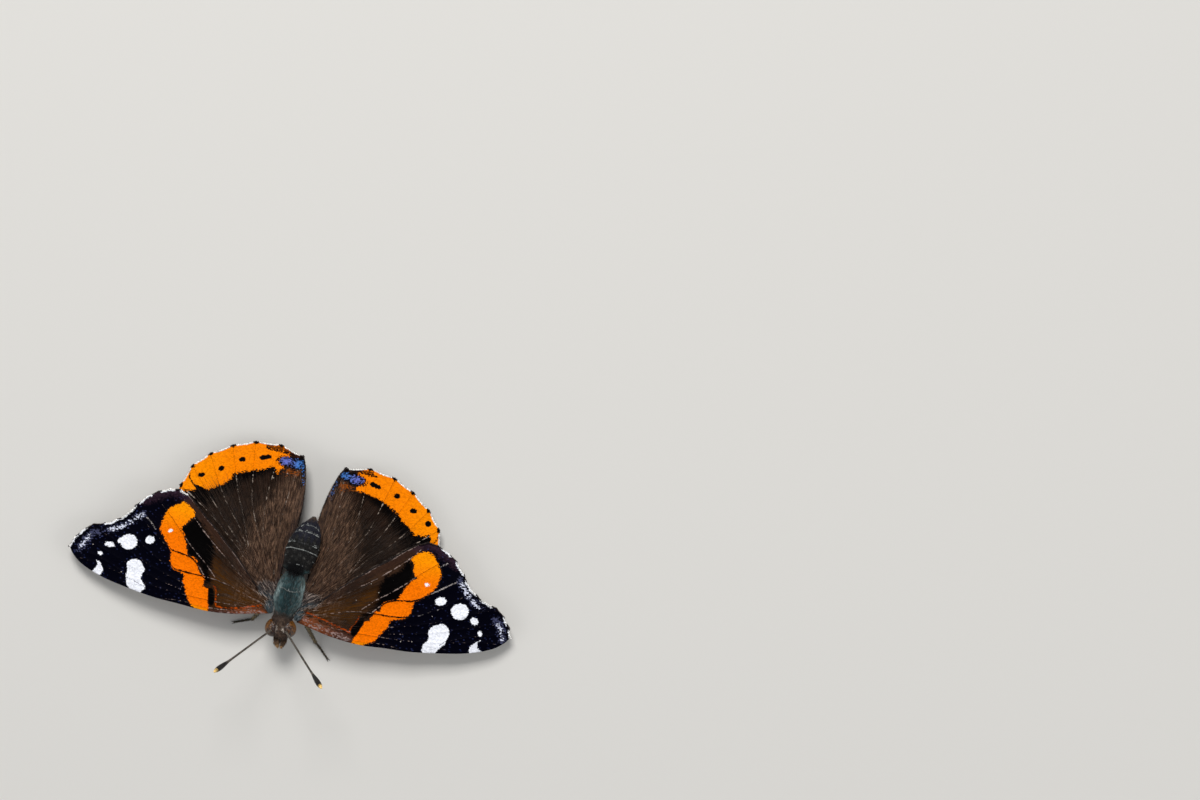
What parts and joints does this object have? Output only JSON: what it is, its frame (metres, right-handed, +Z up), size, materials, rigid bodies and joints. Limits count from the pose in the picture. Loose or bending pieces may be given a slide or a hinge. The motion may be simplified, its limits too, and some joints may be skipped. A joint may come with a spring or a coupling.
{
  "type": "red admiral butterfly",
  "caption": "Life-size butterfly standing on its legs, wings spread flat and antennae raised, with a dark ground, orange bands and white marks.",
  "frame": {"origin": "on the floor, under the middle of the box round the spread animal", "axes": "+X across the wings to the animal's left, +Y to its tail, +Z up"},
  "size_m": [0.066, 0.0338, 0.0145],
  "materials": {
    "forewing_scales": "dark brown-black powdery scales with an orange band and white marks",
    "hindwing_scales": "dark brown powdery scales with an orange margin",
    "thorax_fur": "short grey-green fur",
    "abdomen_scales": "charcoal scales with pale rings",
    "head_fur": "short brown fur",
    "eye": "glossy brown, faceted",
    "antenna": "dark, finely ringed, pale at the tip of the club",
    "leg": "satin, olive brown"
  },
  "bodies": {
    "root": {"abdomen": "abdomen_scales", "antenna_left": "antenna", "antenna_right": "antenna", "eye_left": "eye", "eye_right": "eye", "femur_hind_left": "leg", "femur_hind_right": "leg", "femur_mid_left": "leg", "femur_mid_right": "leg", "foreleg_left": "leg", "foreleg_right": "leg", "forewing_left": "forewing_scales", "forewing_right": "forewing_scales", "head": "head_fur", "hindwing_left": "hindwing_scales", "hindwing_right": "hindwing_scales", "palp_left": "head_fur", "palp_right": "head_fur", "proboscis": "antenna", "tarsus_hind_left": "leg", "tarsus_hind_right": "leg", "tarsus_mid_left": "leg", "tarsus_mid_right": "leg", "thorax": "thorax_fur", "tibia_hind_left": "leg", "tibia_hind_right": "leg", "tibia_mid_left": "leg", "tibia_mid_right": "leg"}
  },
  "joints": []
}
